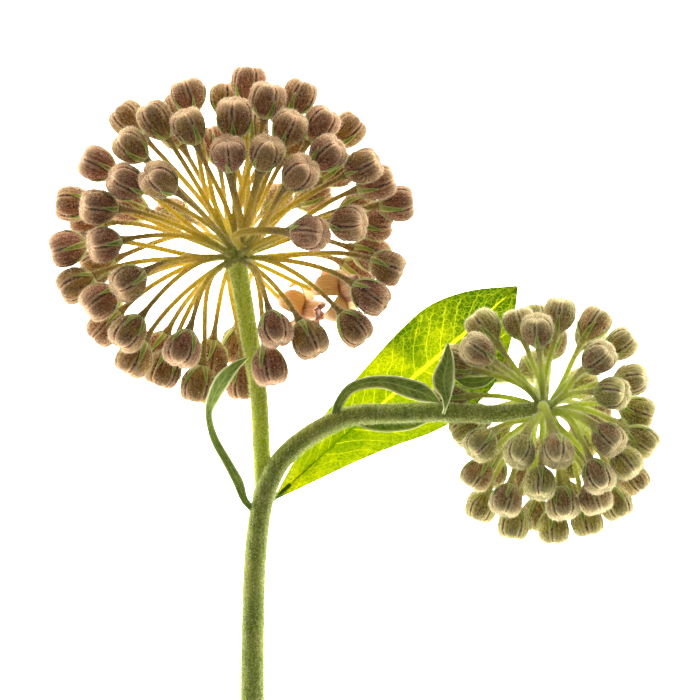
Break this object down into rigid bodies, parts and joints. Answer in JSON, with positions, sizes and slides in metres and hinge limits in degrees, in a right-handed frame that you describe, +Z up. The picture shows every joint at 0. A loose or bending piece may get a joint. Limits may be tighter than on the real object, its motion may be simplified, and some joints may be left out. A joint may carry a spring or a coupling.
{
  "type": "milkweed flower stem",
  "caption": "Cut milkweed stem lying on its side, with two round umbels of closed buds, open flowers and leaves.",
  "frame": {"origin": "centre of the bottom of the object's box, on the surface that it lies on", "axes": "+Y along the stem from its cut end towards the umbels, +X towards the side umbel, +Z up from the surface"},
  "size_m": [0.1218, 0.1392, 0.0439],
  "materials": {
    "stem": "downy green skin with pale hairs",
    "receptacle": "downy green",
    "left_bud": "matte mauve brown with fine down and maroon grooves",
    "right_bud": "matte olive and mauve with fine down",
    "petal": "soft translucent peach",
    "leaf": "satin, with pale net veins",
    "leaf_back": "downy grey green"
  },
  "bodies": {
    "root": {"bract": "leaf_back", "large_leaf": "leaf", "left_bud_spray_01": "left_bud", "left_bud_spray_02": "left_bud", "left_bud_spray_03": "left_bud", "left_bud_spray_04": "left_bud", "left_bud_spray_05": "left_bud", "left_bud_spray_06": "left_bud", "left_bud_spray_07": "left_bud", "left_bud_spray_08": "left_bud", "left_bud_spray_09": "left_bud", "left_bud_spray_10": "left_bud", "left_bud_spray_11": "left_bud", "left_bud_spray_12": "left_bud", "left_bud_spray_13": "left_bud", "left_bud_spray_14": "left_bud", "left_bud_spray_15": "left_bud", "left_bud_spray_16": "left_bud", "left_bud_spray_17": "left_bud", "left_bud_spray_18": "left_bud", "left_bud_spray_19": "left_bud", "left_bud_spray_20": "left_bud", "left_bud_spray_21": "left_bud", "left_bud_spray_22": "left_bud", "left_bud_spray_23": "left_bud", "left_bud_spray_24": "left_bud", "left_bud_spray_25": "left_bud", "left_bud_spray_26": "left_bud", "left_bud_spray_27": "left_bud", "left_bud_spray_28": "left_bud", "left_peduncle": "stem", "left_receptacle": "receptacle", "main_stem": "stem", "narrow_leaf": "leaf_back", "open_flower_1": "petal", "open_flower_2": "petal", "right_bud_spray_01": "right_bud", "right_bud_spray_02": "right_bud", "right_bud_spray_03": "right_bud", "right_bud_spray_04": "right_bud", "right_bud_spray_05": "right_bud", "right_bud_spray_06": "right_bud", "right_bud_spray_07": "right_bud", "right_bud_spray_08": "right_bud", "right_bud_spray_09": "right_bud", "right_bud_spray_10": "right_bud", "right_bud_spray_11": "right_bud", "right_bud_spray_12": "right_bud", "right_bud_spray_13": "right_bud", "right_bud_spray_14": "right_bud", "right_bud_spray_15": "right_bud", "right_bud_spray_16": "right_bud", "right_bud_spray_17": "right_bud", "right_bud_spray_18": "right_bud", "right_peduncle": "stem", "right_receptacle": "receptacle", "small_leaf": "leaf_back", "under_leaf": "leaf_back", "upright_leaf": "leaf_back"}
  },
  "joints": []
}
